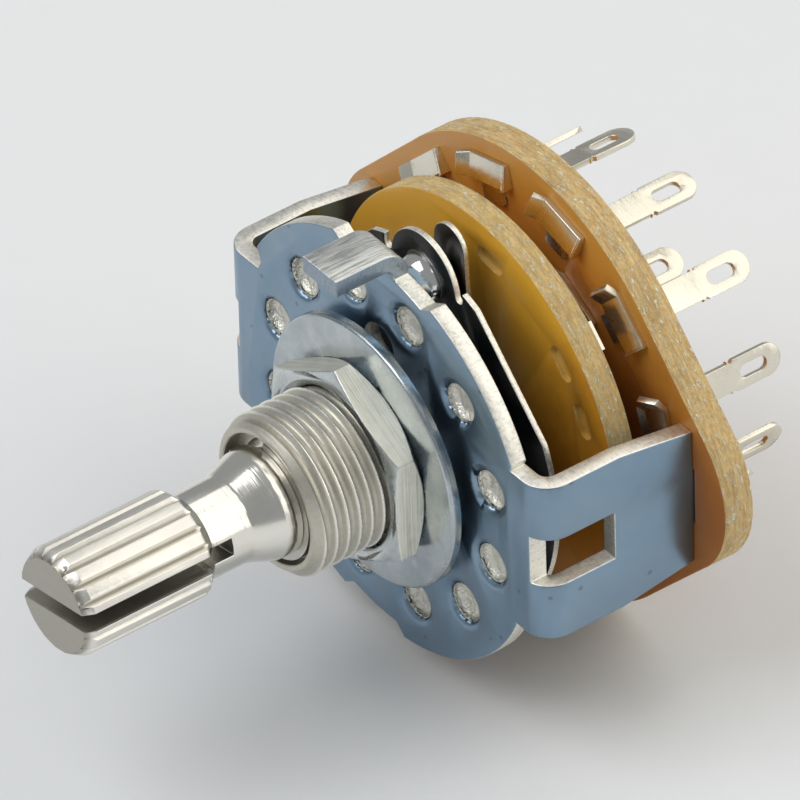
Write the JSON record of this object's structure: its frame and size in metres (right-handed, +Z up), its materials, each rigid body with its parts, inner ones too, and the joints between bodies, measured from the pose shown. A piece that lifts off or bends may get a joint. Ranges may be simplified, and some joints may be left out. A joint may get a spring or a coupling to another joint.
{
  "type": "rotary switch",
  "caption": "Panel-mount rotary selector switch with a splined, split shaft, threaded bushing, ball detent and phenolic wafer with solder terminals.",
  "frame": {"origin": "on the shaft's axis, in the plane of the front plate's front face", "axes": "-Y forward along the shaft towards its tip, +Z up towards the locating lug, +X towards the right-hand arm as seen from the front, with the lug up"},
  "size_m": [0.032, 0.039, 0.0262],
  "materials": {
    "nickel": "bright turned and plated",
    "clip_steel": "dull plated",
    "die_cast": "satin warm grey plating",
    "nut_plating": "bright brushed plating",
    "washer_plating": "bright plating",
    "zinc_sheet": "satin zinc with bright sheared edges",
    "ball_steel": "polished",
    "blued_spring": "dark blued with bright sheared edges",
    "phenolic_amber": "amber paper laminate, straw-coloured cut edge",
    "phenolic_brown": "caramel paper laminate, straw-coloured cut edge",
    "contact_silver": "silvered brass",
    "tinned_brass": "tinned sheet brass"
  },
  "bodies": {
    "frame": {"bushing": "die_cast", "hex_nut": "nut_plating", "washer": "washer_plating", "front_plate": "zinc_sheet", "stator_wafer": "phenolic_brown", "common_terminal": "tinned_brass", "terminal_01": "tinned_brass", "terminal_02": "tinned_brass", "terminal_03": "tinned_brass", "terminal_04": "tinned_brass", "terminal_05": "tinned_brass", "terminal_06": "tinned_brass", "terminal_07": "tinned_brass", "terminal_08": "tinned_brass", "terminal_09": "tinned_brass", "terminal_10": "tinned_brass", "terminal_11": "tinned_brass", "terminal_12": "tinned_brass"},
    "rotor": {"shaft": "nickel", "retaining_ring": "clip_steel", "ball_upper": "ball_steel", "ball_lower": "ball_steel", "ball_carrier": "blued_spring", "detent_spring": "blued_spring", "rotor_spacer": "clip_steel", "rotor_disc": "phenolic_amber", "rotor_contact": "contact_silver", "shaft_clip": "clip_steel"}
  },
  "joints": [
    {"name": "shaft_turn", "type": "hinge", "parent": "frame", "child": "rotor", "pos_m": [0, 0, 0], "axis": [0, -1, 0], "range_deg": [-150, 180]}
  ]
}
